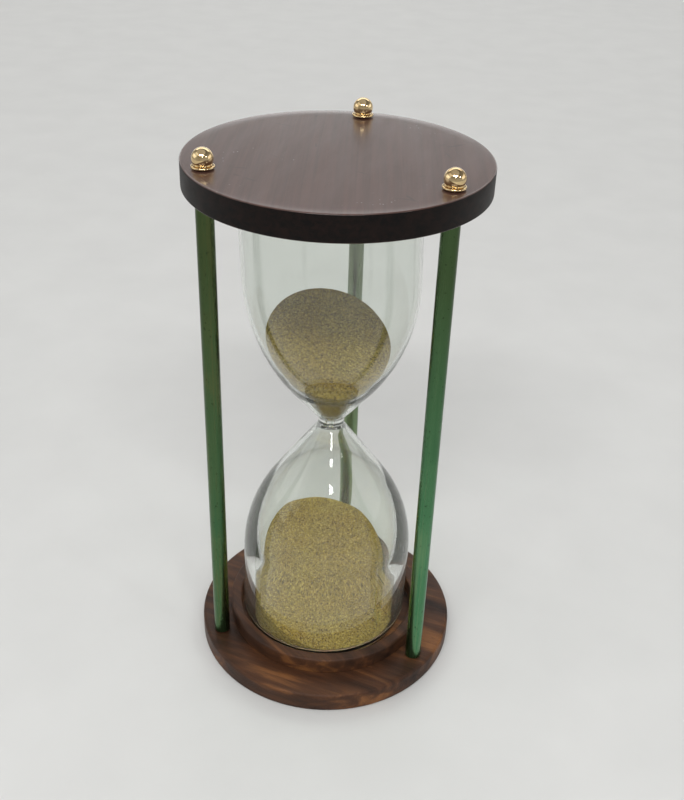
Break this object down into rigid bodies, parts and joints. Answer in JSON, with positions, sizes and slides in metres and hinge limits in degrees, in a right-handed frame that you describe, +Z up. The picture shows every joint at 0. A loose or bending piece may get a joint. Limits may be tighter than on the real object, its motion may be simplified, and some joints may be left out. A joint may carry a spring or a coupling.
{
  "type": "hourglass",
  "caption": "Desk hourglass: a double glass bulb with sand held between two round wooden plates by brass posts with ball nuts.",
  "frame": {"origin": "centre of the base plate's underside, on the surface the hourglass stands on", "axes": "+Z up along the hourglass's own axis, -Y towards the open front between the left and right posts, +X to the right"},
  "size_m": [0.1008, 0.1008, 0.2057],
  "materials": {
    "base_wood": "satin lacquer over open-grained reddish brown wood",
    "dark_wood": "dark maroon-brown stain under gloss lacquer",
    "post_brass": "drawn rod, lacquered, lightly dulled",
    "nut_brass": "polished",
    "fastener_steel": "plain zinc",
    "clear_glass": "clear blown glass, faintly green",
    "sand": "golden tan grains with dark specks",
    "cork": "cork"
  },
  "bodies": {
    "root": {"base_plate": "base_wood", "base_ring": "base_wood", "base_cork_disc": "cork", "top_plate": "dark_wood", "top_ring": "dark_wood", "top_cork_disc": "cork", "glass_bulbs": "clear_glass", "fill_plug": "cork", "upper_sand": "sand", "lower_sand": "sand", "back_post": "post_brass", "left_post": "post_brass", "right_post": "post_brass", "back_ball_nut": "nut_brass", "left_ball_nut": "nut_brass", "right_ball_nut": "nut_brass", "back_washer": "fastener_steel", "left_washer": "fastener_steel", "right_washer": "fastener_steel", "back_hex_nut": "fastener_steel", "left_hex_nut": "fastener_steel", "right_hex_nut": "fastener_steel"}
  },
  "joints": []
}
